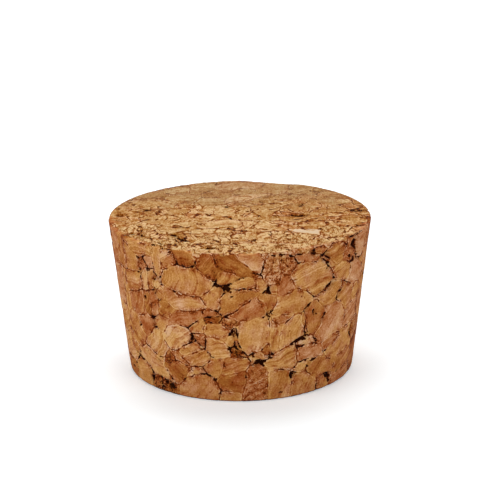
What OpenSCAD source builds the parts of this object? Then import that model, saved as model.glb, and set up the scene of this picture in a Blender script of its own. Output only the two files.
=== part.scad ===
// A tapered stopper of bonded cork granules, standing on its narrow end.
// It is one solid, ground round on a taper and cut flat at both ends. Where granules
// met badly the surface is open, as round pits and narrow cracks.

/* [Stopper] */
// Diameter across the wide end
wide_d = 44; // [36:0.5:60]
// Diameter across the narrow end
narrow_d = 38; // [30:0.5:54]
// Height from the narrow end to the wide end
height = 26; // [18:0.5:40]

/* [Worn rims] */
// Radius worn on the rim of the wide end
wide_rim_r = 0.4; // [0.1:0.1:1.5]
// Radius worn on the rim of the narrow end
narrow_rim_r = 0.3; // [0.1:0.1:1.5]

/* [Openings between granules] */
// Width of the openings, as a share of the widths listed below
opening_width = 1; // [0.5:0.05:1.2]
// Depth of the openings, as a share of the depths listed below
opening_depth = 1; // [0.4:0.05:1.5]

/* [Hidden] */

$fn = 144;
pit_fn = 36;
rim_steps = 6;

// The openings stay where the surface is, so their places are given as a turn about
// the axis from the front (-Y) towards +X, with a share of the height or of the radius.
// Pits in the side: [turn, share of height, width, depth]
side_pits = [
    [-45, 0.50, 0.7, 0.4],
    [-38, 0.78, 1.0, 0.5],
    [-35, 0.25, 1.9, 0.7],
    [-24, 0.42, 1.2, 0.6],
    [-6, 0.77, 1.4, 0.5],
    [-3, 0.47, 1.2, 0.7],
    [7, 0.28, 1.8, 0.9],
    [25, 0.15, 1.2, 0.7],
    [35, 0.56, 1.2, 0.6],
    [40, 0.83, 1.0, 0.5],
    [49, 0.63, 1.0, 0.4],
    [55, 0.87, 1.2, 0.5],
    [65, 0.33, 1.5, 0.6]
];
// Cracks in the side: [turn, share of height, lean to the right, length, width, depth]
side_cracks = [
    [-72, 0.07, 80, 3.5, 0.8, 0.8],
    [-40, 0.06, 80, 3.6, 1.0, 0.9],
    [-21, 0.92, 60, 1.5, 0.3, 0.4],
    [-15, 0.17, -65, 2.2, 0.3, 0.5],
    [14, 0.30, 75, 1.5, 0.3, 0.5],
    [28, 0.40, 85, 3.2, 0.4, 0.6],
    [33, 0.20, 45, 1.5, 0.3, 0.4],
    [39, 0.91, 80, 1.4, 0.4, 0.5],
    [41, 0.70, 75, 3.6, 0.5, 0.6],
    [63, 0.81, -50, 2.2, 0.4, 0.5]
];
// Pits in the wide end: [turn, share of radius, width, depth]
end_pits = [
    [-102, 0.72, 1.2, 0.4],
    [-90, 0.90, 1.0, 0.4],
    [78, 0.26, 1.2, 0.4],
    [84, 0.43, 1.4, 0.4],
    [95, 0.90, 1.0, 0.4]
];
// Cracks in the wide end: [turn, share of radius, lean, length, width, depth]
end_cracks = [
    [-36, 0.72, -60, 5.0, 0.5, 0.5],
    [23, 0.55, 20, 1.5, 0.5, 0.4]
];

wide_r = wide_d / 2;
narrow_r = narrow_d / 2;
// Angle that the side makes with the axis
taper = atan((wide_r - narrow_r) / height);

// Radius of the side at height z
function side_r(z) = narrow_r + (wide_r - narrow_r) * z / height;

// Radius of the ball or disc that cuts an opening this long and this deep
function cutter_r(length, depth) = (length * length / 4 + depth * depth) / (2 * depth);

// Points of a worn rim of radius r about its centre, from one angle to another
function rim(centre, r, from, to) = [
    for (i = [0 : rim_steps])
        let (a = from + (to - from) * i / rim_steps)
            centre + r * [cos(a), sin(a)]
];

// Half of the stopper's section, right of the axis, from the narrow end up
function section() = concat(
    [[0, 0]],
    rim([narrow_r - narrow_rim_r * tan(45 - taper / 2), narrow_rim_r], narrow_rim_r, -90, -taper),
    rim([wide_r - wide_rim_r * tan(45 + taper / 2), height - wide_rim_r], wide_rim_r, -taper, 90),
    [[0, height]]
);

// Places its children on the side, with +X straight out of it and +Z up it
module on_side(turn, share) {
    rotate([0, 0, turn - 90])
        translate([side_r(share * height), 0, share * height])
            rotate([0, taper, 0])
                children();
}

// Places its children on the wide end, with +X straight out of it and +Z to the axis
module on_wide_end(turn, share) {
    rotate([0, 0, turn - 90])
        translate([share * wide_r, 0, height])
            rotate([0, -90, 0])
                children();
}

// A round pit, cut by a ball whose pole points straight in
module pit(width, depth) {
    r = cutter_r(width, depth);
    translate([r - depth, 0, 0])
        rotate([0, 90, 0])
            sphere(r = r, $fn = pit_fn);
}

// A narrow crack, cut by the edge of a disc that stands on the surface
module crack(lean, length, width, depth) {
    r = cutter_r(length, depth);
    rotate([-lean, 0, 0])
        translate([r - depth, 0, 0])
            rotate([90, 0, 0])
                cylinder(h = width, r = r, center = true);
}

// All the openings between granules, side and wide end
module openings() {
    for (p = side_pits)
        on_side(p[0], p[1]) pit(p[2] * opening_width, p[3] * opening_depth);
    for (c = side_cracks)
        on_side(c[0], c[1]) crack(c[2], c[3], c[4] * opening_width, c[5] * opening_depth);
    for (p = end_pits)
        on_wide_end(p[0], p[1]) pit(p[2] * opening_width, p[3] * opening_depth);
    for (c = end_cracks)
        on_wide_end(c[0], c[1]) crack(c[2], c[3], c[4] * opening_width, c[5] * opening_depth);
}

module stopper() {
    color("#b98555")
        difference() {
            rotate_extrude() polygon(section());
            openings();
        }
}

stopper();
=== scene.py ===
import math
from itertools import product

import bpy
import numpy as np
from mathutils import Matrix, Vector


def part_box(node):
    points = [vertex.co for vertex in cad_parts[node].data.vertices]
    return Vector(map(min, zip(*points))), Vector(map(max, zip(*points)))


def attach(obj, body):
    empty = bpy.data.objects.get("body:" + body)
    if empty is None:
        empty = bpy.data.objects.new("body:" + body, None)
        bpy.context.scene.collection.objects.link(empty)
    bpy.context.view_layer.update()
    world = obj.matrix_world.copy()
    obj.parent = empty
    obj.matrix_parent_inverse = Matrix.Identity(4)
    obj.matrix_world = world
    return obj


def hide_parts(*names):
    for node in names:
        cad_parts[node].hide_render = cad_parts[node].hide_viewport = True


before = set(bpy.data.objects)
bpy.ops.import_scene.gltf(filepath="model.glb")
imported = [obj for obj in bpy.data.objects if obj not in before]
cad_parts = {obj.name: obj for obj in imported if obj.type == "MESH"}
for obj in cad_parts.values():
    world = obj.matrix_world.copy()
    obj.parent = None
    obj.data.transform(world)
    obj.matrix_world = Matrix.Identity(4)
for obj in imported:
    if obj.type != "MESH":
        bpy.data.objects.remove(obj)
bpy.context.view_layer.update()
MM = 0.001


# ------------------------------------------------------------------ the room
# A plain white floor, a soft box overhead and a little behind, and one at each
# side in front. The floor and the air look white to the eye, and light the stopper less.

def eye_rays(tree):
    """Gives 1 for a ray that the eye sees, straight on or in gloss or glass, and 0 for light on the stopper."""
    path = tree.nodes.new("ShaderNodeLightPath")
    seen = path.outputs["Is Camera Ray"]
    for kind in ("Is Glossy Ray", "Is Transmission Ray"):
        either = tree.nodes.new("ShaderNodeMath")
        either.operation = "MAXIMUM"
        tree.links.new(seen, either.inputs[0])
        tree.links.new(path.outputs[kind], either.inputs[1])
        seen = either.outputs[0]
    return seen


def white_air(strength):
    """Makes the world white to the eye, and a weaker white light on the stopper."""
    world = bpy.data.worlds.new("white_air")
    world.use_nodes = True
    tree = world.node_tree
    level = tree.nodes.new("ShaderNodeMapRange")
    level.inputs["To Min"].default_value = strength
    level.inputs["To Max"].default_value = 1.0
    tree.links.new(eye_rays(tree), level.inputs["Value"])
    tree.nodes["Background"].inputs["Color"].default_value = (1, 1, 1, 1)
    tree.links.new(level.outputs[0], tree.nodes["Background"].inputs["Strength"])
    bpy.context.scene.world = world


def white_floor(half_side, paint, lift):
    """Lays a white floor. The eye sees its paint plus a steady lift, so that only a faint shadow shows."""
    mesh = bpy.data.meshes.new("floor")
    corners = [(x * half_side, y * half_side, 0) for x, y in ((-1, -1), (1, -1), (1, 1), (-1, 1))]
    mesh.from_pydata(corners, [], [(0, 1, 2, 3)])
    floor = bpy.data.objects.new("floor", mesh)
    bpy.context.collection.objects.link(floor)
    material = bpy.data.materials.new("floor_paint")
    material.use_nodes = True
    tree = material.node_tree
    shader = tree.nodes["Principled BSDF"]
    shader.inputs["Base Color"].default_value = (*paint, 1)
    shader.inputs["Roughness"].default_value = 1.0
    shader.inputs["Specular IOR Level"].default_value = 0.0
    shader.inputs["Emission Color"].default_value = (1, 1, 1, 1)
    level = tree.nodes.new("ShaderNodeMath")
    level.operation = "MULTIPLY"
    level.inputs[1].default_value = lift
    tree.links.new(eye_rays(tree), level.inputs[0])
    tree.links.new(level.outputs[0], shader.inputs["Emission Strength"])
    mesh.materials.append(material)


def soft_box(name, place, side, watts):
    """Hangs a square lamp and turns it to face the stopper."""
    lamp = bpy.data.lights.new(name, "AREA")
    lamp.size = side
    lamp.energy = watts
    box = bpy.data.objects.new(name, lamp)
    box.location = place
    box.rotation_euler = Vector(place).to_track_quat("Z", "Y").to_euler()
    bpy.context.collection.objects.link(box)


white_air(strength=0.30)
white_floor(half_side=0.45, paint=(0.82, 0.86, 0.88), lift=0.29)
soft_box("top_box", place=(0, 0.22, 0.52), side=0.45, watts=2.4)
soft_box("left_box", place=(-0.48, -0.32, 0.30), side=0.45, watts=1.85)
soft_box("right_box", place=(0.42, -0.42, 0.28), side=0.40, watts=1.37)


# ---------------------------------------------------------------- the camera
# A long lens, in front of the stopper and a little above it, aimed slightly
# over it and rolled by less than a degree.

EYE_DISTANCE = 297.1 * MM
EYE_ELEVATION = 18.8
EYE_TILT = 1.566
EYE_ROLL = -0.67
LENS = 131.4

low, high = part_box("stopper")
height = (high[2] - low[2]) / MM
camera_data = bpy.data.cameras.new("camera")
camera_data.lens = LENS
camera = bpy.data.objects.new("camera", camera_data)
elevation = math.radians(EYE_ELEVATION)
camera.location = (
    0,
    -EYE_DISTANCE * math.cos(elevation),
    height / 2 * MM + EYE_DISTANCE * math.sin(elevation),
)
camera.rotation_mode = "ZXY"
camera.rotation_euler = (math.radians(90 - EYE_ELEVATION + EYE_TILT), 0, math.radians(EYE_ROLL))
bpy.context.collection.objects.link(camera)
bpy.context.scene.camera = camera
bpy.context.scene.view_settings.view_transform = "Standard"


# ------------------------------------------------------- the stopper's shape
# One block of bonded cork, ground round on a taper and cut flat at both ends.
# It is one closed skin: a side, and an end disc sewn to each of its rims.
# Sizes in this part of the file are in millimetres.

NARROW_R = 19.0
WIDE_R = 22.0
NARROW_RIM = 0.3
WIDE_RIM = 0.4
SKIN_CUTS = 148
SIDE_CUTS = 92
TAPER = math.atan((WIDE_R - NARROW_R) / height)


def section_line():
    """Gives the section from the narrow end's middle to the wide end's: points, outward normals and length along it.

    Each rim is an arc tangent to the end and to the side, and the straights need only their two ends."""
    half = TAPER / 2
    quarter = math.pi / 4
    foot = np.linspace(-math.pi / 2, -TAPER, 9)
    head = np.linspace(-TAPER, math.pi / 2, 9)
    foot_at = (NARROW_R - NARROW_RIM * math.tan(quarter - half), NARROW_RIM)
    head_at = (WIDE_R - WIDE_RIM * math.tan(quarter + half), height - WIDE_RIM)
    turn = np.concatenate([[-math.pi / 2], foot, head, [math.pi / 2]])
    normal = np.stack([np.cos(turn), np.sin(turn)], axis=1)
    point = np.concatenate([
        [(0, 0)],
        foot_at + NARROW_RIM * normal[1:10],
        head_at + WIDE_RIM * normal[10:19],
        [(0, height)],
    ])
    along = np.concatenate([[0], np.cumsum(np.hypot(*np.diff(point, axis=0).T))])
    return point, normal, along


def on_section(s):
    """Reads radius, height and normal at lengths s along the section."""
    point, normal, along = section_line()
    return [np.interp(s, along, column) for column in (*point.T, *normal.T)]


def disc_grid(cuts):
    """Maps a square grid onto a disc, ring by ring.

    A point's share of the radius is its larger coordinate, and its angle is a straight share of its quarter."""
    line = np.linspace(-1, 1, cuts + 1)
    x, y = np.meshgrid(line, line, indexing="ij")
    share = np.maximum(np.abs(x), np.abs(y))
    wide = np.abs(x) >= np.abs(y)
    with np.errstate(divide="ignore", invalid="ignore"):
        angle = np.where(
            wide,
            np.where(x >= 0, 0, math.pi) + math.pi / 4 * y / x,
            np.where(y >= 0, 1, -1) * math.pi / 2 - math.pi / 4 * x / y,
        )
    return share, np.nan_to_num(angle)


def rim_walk(cuts):
    """Lists the grid places round the edge of a disc grid, anticlockwise from its first corner."""
    run = np.arange(cuts)
    i = np.concatenate([run, np.full(cuts, cuts), cuts - run, np.zeros(cuts, int)])
    j = np.concatenate([np.zeros(cuts, int), run, np.full(cuts, cuts), cuts - run])
    return i, j


def skin():
    """Makes the whole skin: places, normals, four corners for each face, and each place's length along the section.

    The side is rows of points from rim to rim. Each end is a disc grid whose edge is the side's first or last row."""
    along = section_line()[2]
    foot_mid = along[1:10].mean()
    head_mid = along[10:19].mean()
    share, angle = disc_grid(SKIN_CUTS)
    walk = rim_walk(SKIN_CUTS)
    round_cuts = 4 * SKIN_CUTS
    row_s = np.linspace(foot_mid, head_mid, SIDE_CUTS + 1)
    side_s = np.repeat(row_s, round_cuts)
    side_angle = np.tile(angle[walk], SIDE_CUTS + 1)
    inside = np.s_[1:-1, 1:-1]
    inner_share = share[inside].ravel()
    inner_angle = angle[inside].ravel()
    s = np.concatenate([side_s, inner_share * foot_mid, along[-1] - inner_share * (along[-1] - head_mid)])
    a = np.concatenate([side_angle, inner_angle, inner_angle])
    radius, z, out, up = on_section(s)
    places = np.stack([radius * np.cos(a), radius * np.sin(a), z], axis=1)
    normals = np.stack([out * np.cos(a), out * np.sin(a), up], axis=1)

    number = np.arange(len(side_s)).reshape(SIDE_CUTS + 1, round_cuts)
    after = np.roll(number, -1, axis=1)
    faces = [np.stack([number[:-1], after[:-1], after[1:], number[1:]], axis=-1).reshape(-1, 4)]
    first_inner = len(side_s)
    for row, turned in ((0, True), (SIDE_CUTS, False)):
        disc = np.zeros((SKIN_CUTS + 1, SKIN_CUTS + 1), int)
        disc[walk] = number[row]
        disc[inside] = first_inner + np.arange(len(inner_share)).reshape(SKIN_CUTS - 1, SKIN_CUTS - 1)
        first_inner += len(inner_share)
        quads = np.stack([disc[:-1, :-1], disc[1:, :-1], disc[1:, 1:], disc[:-1, 1:]], axis=-1).reshape(-1, 4)
        faces.append(quads[:, ::-1] if turned else quads)
    return places, normals, faces, s


def flat_map(places, faces):
    """Lays the faces out flat in one square, in millimetres divided by its side.

    The two ends lie side by side, and the side lies above them as two strips of half a turn each."""
    side, narrow_end, wide_end = faces
    gap = 0.6
    strip = math.pi * WIDE_R
    square = 2 * (WIDE_R + height + 2 * gap) + 2 * gap
    corner = places[side]
    middle = places[side].mean(axis=1)
    back_half = (middle[:, 1] > 0)[:, None]
    angle = np.arctan2(corner[..., 1], corner[..., 0])
    if_back = np.where(angle < -1, angle + 2 * math.pi, angle)
    if_front = np.where(angle > 1, angle - 2 * math.pi, angle)
    angle = np.where(back_half, if_back, if_front)
    u = gap + WIDE_R * np.where(back_half, angle, angle + math.pi)
    v = 2 * WIDE_R + 2 * gap + corner[..., 2] + np.where(back_half, height + 1.5 * gap, 0)
    maps = [np.stack([u, v], axis=-1)]
    maps.append(places[narrow_end][..., :2] * (-1, 1) + (gap + NARROW_R, gap + NARROW_R))
    maps.append(places[wide_end][..., :2] + (2 * gap + 2 * NARROW_R + WIDE_R, gap + WIDE_R))
    return np.concatenate(maps) / max(square, strip + 2 * gap)


places, normals, faces, along_section = skin()


# -------------------------------------------------------------- its granules
# Chips of cork bark, 1 to 9 mm across, pressed and glued together, so that each
# meets its neighbours at a thin seam. Those in front and on top are listed one by one.

# A kind of granule: how pale it is, how red it is and how crumbly it is. Most run from 0 to 1,
# and a few go past either end, to be darker or paler than the rest
KINDS = {
    "cream": (1.0, 0.2, 0.0),
    "pale": (0.85, 0.1, 0.0),
    "straw": (0.8, 0.0, 0.0),
    "tan": (0.65, 0.1, 0.0),
    "orange": (0.6, 0.35, 0.0),
    "pink": (0.7, 0.9, 0.0),
    "rose": (0.45, 0.9, 0.0),
    "ochre": (0.5, 0.0, 0.1),
    "brown": (0.35, 0.3, 0.0),
    "umber": (0.15, 0.3, 0.0),
    "dusk": (-0.05, 0.3, 0.0),
    "rust": (0.35, 1.0, 0.6),
    "crumb": (0.48, 0.5, 1.0),
    "grit": (0.85, 0.2, 0.9),
    "blush": (1.2, 0.6, 0.0),
    "white": (2.2, 0.2, 0.0),
    "bark": (0.05, 0.3, 0.9),
}

# Granules in the side: kind, lean of the growth lines, and the corners, each as turn from the front in degrees, height
SIDE_GRANULES = [
    ("rose", 20, -78, 19.5, -78, 26.3, -66.5, 26.3, -66, 22.5, -70, 20),
    ("pink", 15, -78, 13.2, -78, 19.3, -70, 19.8, -66.3, 19.6, -65.8, 15, -68, 13.2),
    ("tan", 30, -78, 8.2, -78, 13, -68, 13, -63.5, 11, -65, 9.4, -68, 8),
    ("pale", 20, -78, 3.2, -78, 8, -68, 7.7, -64.5, 6, -62.5, 4.8, -66, 3.2),
    ("brown", 10, -78, -0.3, -78, 2.9, -66, 3, -63.8, 2.6, -63.8, -0.3),
    ("orange", 80, -66, 20.2, -66.2, 26.3, -60.5, 26.3, -60, 23.5, -60.4, 20.6),
    ("tan", 10, -60.2, 25.3, -60, 26.3, -41.5, 26.3, -41.5, 24.3, -46.8, 23.4, -50, 23.2),
    ("orange", 10, -60, 20.6, -60, 25, -57, 24.8, -49.6, 22.5, -49.6, 20.6, -54, 20.2),
    ("pale", 85, -65.5, 13.6, -66, 19.8, -62.6, 19.4, -61.4, 14.6, -62.4, 13),
    ("tan", 10, -62.6, 16.4, -62, 19.2, -58, 19.9, -49.3, 20, -48.6, 18, -52, 17.3, -59, 16.5),
    ("rose", 60, -61.2, 14.5, -59.5, 16.4, -49, 17.4, -48.2, 16, -49, 13.5, -52, 12.8, -58.5, 13),
    ("orange", 50, -64.5, 10.6, -62.2, 12.9, -58, 12.8, -55.2, 11.8, -51.2, 9.6, -52, 8.3, -56, 8.6),
    ("rose", 10, -55, 12, -52, 12.8, -49, 13.3, -45, 13, -43.6, 11.6, -46, 10.1, -50, 9.6),
    ("tan", -30, -64, 9.5, -62, 9.8, -52.4, 7.9, -54.3, 7.2, -60, 7.3),
    ("orange", 35, -66.8, 8, -64.3, 9.2, -57.5, 5.9, -61, 5, -64.5, 6.2),
    ("umber", 60, -48.8, 16, -48, 17.4, -44.5, 17.6, -43.6, 15.6, -44.2, 13.4, -48.2, 14.6),
    ("rose", 40, -44.3, 17.6, -41.5, 17.8, -40.8, 15, -41.4, 13.5, -43.9, 13.5),
    ("cream", 80, -48.5, 18, -48.3, 20, -45.6, 21.4, -44.2, 20.8, -44, 18, -46, 17.7),
    ("orange", 60, -44, 18.1, -43.9, 21.2, -41.1, 21.6, -40.9, 19.2, -41.6, 18.1),
    ("rust", 30, -49.6, 21, -49.2, 22.9, -46.4, 23.3, -44.6, 22.2, -46, 21.6),
    ("pink", 30, -46.6, 23.3, -44, 24.1, -41.4, 23.8, -41, 22.4, -43.6, 22.1, -45, 22.5),
    ("pale", -20, -59.5, 5.3, -52, 7.5, -47.5, 7, -42, 6, -34.6, 2.2, -43, 2.4, -55, 4.4),
    ("tan", 10, -63.5, 3, -60, 4.4, -54, 4.2, -51, 3.2, -50.4, 1.8, -51.5, -0.3, -63.5, -0.3),
    ("bark", 0, -50.6, 0.4, -50, 1.7, -46, 2.3, -43.2, 2.2, -43.2, -0.3, -50, -0.3),
    ("bark", 10, -43, 2.2, -38.5, 2.3, -34.2, 2, -33.5, -0.3, -43, -0.3),
    ("pale", 60, -50.4, 8.1, -43.5, 11.2, -41.5, 11.2, -39, 10.5, -36.1, 8.9, -38, 7.2, -40, 6.4, -43.5, 6.2,
     -47.5, 7.2),
    ("cream", 85, -40, 21.6, -39.8, 26.3, -35.8, 26.3, -36.2, 22, -38, 21.1),
    ("cream", 10, -35.6, 26.3, -30.2, 26.3, -30.5, 25.2, -33, 24.5, -35.9, 24),
    ("tan", 15, -35.6, 22.7, -35.4, 23.8, -31.5, 24.9, -29, 25, -27.3, 24, -28, 23.3, -32, 22.7),
    ("brown", 0, -29.5, 25.3, -28.5, 26.3, -19.8, 26.3, -19.4, 24.8, -20, 23.9, -23.5, 23.1, -26, 23.2),
    ("umber", 50, -19.4, 23.8, -17.3, 26.3, -12.6, 26.3, -10.4, 25.2, -9.8, 24, -9.8, 22.4, -11.2, 21.6,
     -14, 22, -17.5, 22.9),
    ("tan", 78, -35.8, 20, -35, 21.5, -31.5, 22.6, -26, 23.4, -17.5, 22.7, -13.5, 21.6, -11.8, 20.5,
     -14, 19.4, -17, 18.5, -24, 18.2, -30, 18.5, -34, 19.2),
    ("white", 0, -29.4, 18.8, -27.5, 19.3, -25, 18.8, -25.2, 17.9, -28.4, 17.7),
    ("cream", 90, -41.2, 19.2, -40.2, 20.2, -38.4, 19.9, -37.8, 19.3, -40, 18.4),
    ("orange", -30, -40.7, 17.6, -37.5, 18.9, -36, 18.9, -34.7, 17.4, -36.5, 16.7, -39, 16.9),
    ("orange", 15, -36.2, 19, -34.8, 19.2, -18, 18.2, -15, 16.6, -18, 16, -24, 15.8, -30, 15.7, -33, 16.5),
    ("tan", 60, -17.5, 18.2, -11.6, 20.4, -9.6, 19.9, -8.4, 19.2, -9.7, 16.5, -12, 16.3, -15.2, 16.8),
    ("ochre", 35, -39.4, 14.8, -37, 16.6, -33, 16.3, -30.5, 15.4, -34, 14, -37, 14.2),
    ("rose", 15, -34.5, 13.1, -33.7, 14.2, -30, 15.5, -17.5, 15.9, -17, 15.1, -19.5, 13.8, -24, 13),
    ("orange", 40, -23.4, 12.6, -20.5, 13.7, -17.3, 14.6, -16.8, 13, -17.8, 12, -21, 11.8),
    ("rose", 20, -18, 15.8, -14.8, 16.5, -12, 16.1, -10.4, 15.3, -13, 14.9, -17, 14.7),
    ("dusk", 0, -16.4, 14.5, -9.4, 14.9, -8.3, 14.4, -10, 13.9, -15, 13.8),
    ("tan", 10, -17, 12.3, -15, 13.6, -9, 13.7, -5.5, 13, -4.2, 12.4, -7.5, 11.1, -11.5, 11.3, -16.5, 11.8),
    ("straw", 10, -17, 10, -16.3, 11.5, -11.5, 11.2, -7.6, 10.8, -5.5, 9.6, -5, 8.4, -9, 7.9, -12.5, 7.9, -15.8, 8.8),
    ("rust", 0, -22, 11.6, -17.6, 11.7, -16.9, 10.2, -18, 9.3, -20.5, 10.3),
    ("cream", 45, -38.6, 10.3, -35.5, 12.4, -29.5, 12.9, -24.5, 12.3, -23.8, 11.2, -25, 10.1, -28.5, 9,
     -32, 8.4, -36, 9.1),
    ("tan", 50, -43, 13, -40.5, 13.9, -36.2, 13.7, -35.2, 13, -38.3, 11.1, -40.5, 11.4),
    ("pale", 20, -29.5, 8.3, -29, 9, -24.5, 10, -20.5, 10.3, -18.5, 9.2, -24, 8, -27.5, 7.6),
    ("orange", 30, -28.5, 7.3, -18.5, 9, -15.8, 8, -15.2, 7, -18, 6.1, -21, 5.9, -25.5, 6.3),
    ("orange", -20, -35, 8.1, -32, 8.2, -25.5, 6.2, -27.5, 5.9, -31.6, 6.6),
    ("bark", -30, -38, 6.8, -36.8, 7.7, -34.8, 7.8, -33.2, 7, -33.4, 6, -35, 5.5, -37.2, 5.8),
    ("tan", 20, -18.5, 5.8, -15, 7, -12.3, 7.7, -7.8, 7.9, -8, 6.5, -9.8, 4.9, -12.5, 4.2, -17, 5.1),
    ("brown", -40, -40.4, 4.8, -37.5, 5.3, -31, 6.3, -26.5, 5.8, -24.6, 5.3, -29, 3, -31.4, 2.1, -33.8, 2.3),
    ("cream", 35, -28, 3.7, -26, 4.7, -24.3, 5, -23.2, 4.3, -25.8, 3.6),
    ("pale", 20, -24.2, 5.6, -20.5, 5.6, -18.6, 4.9, -21.5, 4.3, -23, 4.5),
    ("brown", 0, -33.4, -0.3, -33.7, 1.7, -32.2, 1.9, -31.5, -0.3),
    ("orange", 60, -31.7, -0.3, -31.5, 1.9, -28.5, 3.2, -23.5, 4.1, -19.5, 4.4, -15.5, 4.2, -11.6, 3.3,
     -10.2, 2, -11.6, -0.3),
    ("dusk", -30, -9.7, 23.3, -12, 26.3, -3.2, 26.3, 7, 22.3, 2, 22),
    ("brown", 60, -9.8, 21, -9.7, 22.9, -6.5, 23, -2, 22.4, 0, 21.8, -6, 20.7),
    ("tan", 10, -5.8, 20.3, -2, 21.3, 3, 21.7, 7, 21.3, 6.5, 20.4, 3, 19.9, -2, 20),
    ("pink", 0, -2.8, 26.3, -0.8, 24.7, 2.5, 23.6, 6.5, 22.7, 9, 23, 9.4, 24.5, 9.6, 26.3),
    ("ochre", 30, 6.8, 21.8, 9.3, 21.8, 12, 20, 11.5, 19.4, 9, 19.1, 7.2, 20),
    ("crumb", 70, 10, 21.4, 9.8, 24, 11, 25.7, 15, 25.7, 16.6, 24, 17, 22, 15.2, 20.6, 12, 20.5),
    ("crumb", 20, 15.5, 25.7, 21, 25.4, 24, 24.3, 23, 22.8, 20.5, 21.9, 17.2, 22.4),
    ("rose", 60, 15.6, 20.5, 17.5, 21.9, 20.5, 21.6, 22.3, 20.5, 23.6, 19.4, 20, 18.4, 17, 18.6),
    ("tan", 0, 12.4, 19.8, 13.5, 20.4, 15.3, 20.1, 15.5, 19, 13.5, 18.9),
    ("ochre", 25, -8.6, 16, -8.8, 18.5, -6, 19.4, 1, 19.9, 5.8, 19.8, 8.3, 18.9, 1.5, 17.1, -4, 15.7, -7.4, 15.2),
    ("rose", 50, -5.6, 15.1, 6.5, 18.4, 8.3, 17.4, 10.6, 15.7, 9.8, 15, 0, 14.8),
    ("brown", 80, 7.3, 18.6, 11, 19.2, 14.5, 18.6, 15.8, 17.5, 13, 16.2, 11.3, 15.7),
    ("tan", 5, 13.6, 15.3, 13.4, 16.1, 15.8, 17.7, 18, 18.4, 25, 19.2, 30, 18.9, 33.5, 17.3, 30.3, 15.8,
     28, 15, 20, 15),
    ("tan", 10, 21.6, 21.6, 24, 23.3, 28, 23.7, 34, 23.2, 39, 22.7, 43, 21, 45.5, 19.4, 41, 18.2, 35, 17.3, 25, 19.4),
    ("straw", 80, -2.3, 12, -1.5, 13.3, 1.5, 14.5, 6, 14.9, 10.5, 14.7, 12.2, 13.5, 13.2, 12, 12, 10.5,
     8.5, 8.9, 4, 8.3, 1, 9, -1, 10),
    ("straw", 80, 13.2, 14.5, 17.5, 12.9, 18, 11, 17, 9, 14.5, 8.3, 12.8, 10.4),
    ("umber", 60, 8.8, 8.7, 12.4, 10.1, 14, 8.3, 11.4, 7.9),
    ("crumb", 0, -9.6, 14, -8.3, 14.7, -3.4, 14.6, -1.4, 13.8, -3.4, 13),
    ("tan", 60, -7.6, 10.8, -5, 12.1, -3.3, 11.8, -2.6, 10.4, -4.4, 9.7),
    ("ochre", 80, -3.1, 12.6, -2.2, 13, 0.2, 9.2, -1.2, 9.2, -2.5, 10.5),
    ("bark", 0, -4.8, 8.4, -4.3, 9.5, 0.8, 8.8, 2.5, 8, -3, 8),
    ("brown", 20, -9.6, 5, -7.3, 7.9, 2, 7.8, 4.3, 7.2, 0.8, 5.5, -5, 5),
    ("umber", 0, -12, 3.6, -9.5, 4.7, 1.5, 5.4, 2.3, 4.4, 0, 1.8, -8.7, 2),
    ("rust", 40, 2.2, 5.5, 4, 6.4, 8, 6.5, 11.5, 5.6, 12.4, 4.3, 10, 3.5, 3, 3.5),
    ("rust", 30, 0.4, 1.6, 2.5, 3.3, 12.3, 4, 12.6, 1, 12.4, -0.3, 0, -0.3),
    ("tan", 20, -11.2, -0.3, -9.6, 1.8, -5, 1.8, -0.3, 1.6, -0.3, -0.3),
    ("tan", 70, 13, 5.5, 17, 5.4, 22, 5.2, 23.2, 4.4, 24.5, 2.8, 23.7, -0.3, 12.8, -0.3, 12.8, 3),
    ("straw", 20, 9.5, 6.8, 14, 7.9, 22, 9.4, 25.8, 9.8, 26.3, 7.5, 26, 6, 22, 5.4, 17, 5.6, 12, 5.9),
    ("cream", 5, 26.3, 9.1, 27.5, 9.9, 34, 9.9, 37, 9, 35, 8.9, 30, 8.8),
    ("straw", 70, 18.2, 12.9, 20.5, 13.9, 26, 14.9, 28, 14.3, 30, 12.2, 30, 10.3, 17.5, 8.6),
    ("tan", 20, 13.4, 15.1, 25.5, 14.9, 18, 13.1, 15.5, 13.6),
    ("ochre", 80, 28, 14.8, 29.4, 14.9, 31.3, 11.1, 30.2, 11.6),
    ("brown", 75, 29.6, 15.3, 31, 15.9, 36, 16.6, 39, 15.6, 40.4, 15, 40.4, 13.1, 39, 12, 35, 10.9, 32, 11.4,
     30.4, 12.7),
    ("tan", 30, 35, 16.9, 36, 17.4, 47, 19.2, 51, 18.9, 51.5, 18, 49, 16.4, 47.5, 15.6, 44.5, 15.1, 40.7, 15.2),
    ("pink", 50, 36.2, 10.2, 40.6, 12.9, 44, 14.9, 48, 15.3, 52, 14.9, 56, 12.5, 55.2, 10.3, 42, 9.1, 38, 8.8),
    ("orange", 20, 48.6, 15.7, 50, 16.6, 53.5, 18, 58, 17.4, 62, 16.6, 62, 14, 57, 12.8),
    ("pink", 20, 57, 12.7, 62, 13.9, 70, 14, 70, 10.7, 60, 10.4, 56.3, 10.5),
    ("pink", 25, 26.6, 7, 26.6, 8.7, 35, 8.8, 38, 8.6, 41, 7.5, 41.7, 6.5, 30, 6.3),
    ("rose", 20, 40.5, 8.5, 46, 9.7, 50, 9.8, 53, 8.9, 50.5, 7.8, 46.5, 7.3, 43, 7, 41.8, 7.2),
    ("tan", 15, 43, 6.8, 59, 9.9, 64, 9.7, 66, 8, 65, 5.8, 48, 5, 45, 5.6),
    ("ochre", 60, 32.7, 4.6, 35.5, 5.7, 39.5, 6.2, 43.5, 5.8, 51, 4.2, 50.5, 3, 47, 2.5, 39.5, 2.5, 36.5, 3),
    ("pale", 30, 26, 4.8, 27.5, 5.7, 31.5, 6.1, 34.5, 6.1, 32.5, 5, 31, 4.5, 27.5, 4.5),
    ("orange", 80, 24.3, -0.3, 25.4, 3, 27, 4.2, 31.5, 4.3, 39, 2.3, 40, 1, 40.2, -0.3),
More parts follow.
